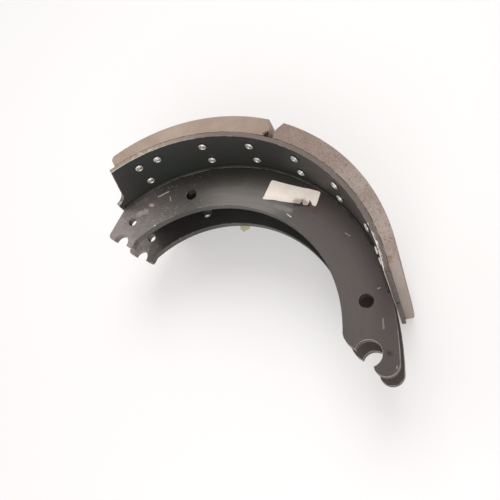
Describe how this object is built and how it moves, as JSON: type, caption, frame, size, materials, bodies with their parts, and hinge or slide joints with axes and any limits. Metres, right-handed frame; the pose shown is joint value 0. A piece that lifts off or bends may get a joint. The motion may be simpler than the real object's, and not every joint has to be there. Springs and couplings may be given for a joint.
{
  "type": "brake shoe",
  "caption": "Lined drum-brake shoe: parallel webs under a curved table, with an open anchor-pin seat, a cam-roller notch and riveted lining blocks.",
  "frame": {"origin": "axis of the anchor pin, halfway between the two webs", "axes": "+Z along the drum's axis, up as the shoe lies on its side; +Y from the drum's axis towards the crown of the table; +X from the cam end towards the anchor end"},
  "size_m": [0.358, 0.1848, 0.1778],
  "materials": {
    "black_paint": "thin satin black paint over steel, scuffed, with rust specks",
    "lining_compound": "dry moulded friction compound, speckled",
    "rivet_steel": "plated steel, slightly dull"
  },
  "bodies": {
    "root": {"table": "black_paint", "upper_web": "black_paint", "lower_web": "black_paint", "upper_weld": "black_paint", "lower_weld": "black_paint", "cam_lining": "lining_compound", "anchor_lining": "lining_compound", "cam_lining_rivets_upper_outer": "rivet_steel", "cam_lining_rivets_upper_inner": "rivet_steel", "cam_lining_rivets_lower_inner": "rivet_steel", "cam_lining_rivets_lower_outer": "rivet_steel", "anchor_lining_rivets_upper_outer": "rivet_steel", "anchor_lining_rivets_upper_inner": "rivet_steel", "anchor_lining_rivets_lower_inner": "rivet_steel", "anchor_lining_rivets_lower_outer": "rivet_steel"}
  },
  "joints": []
}
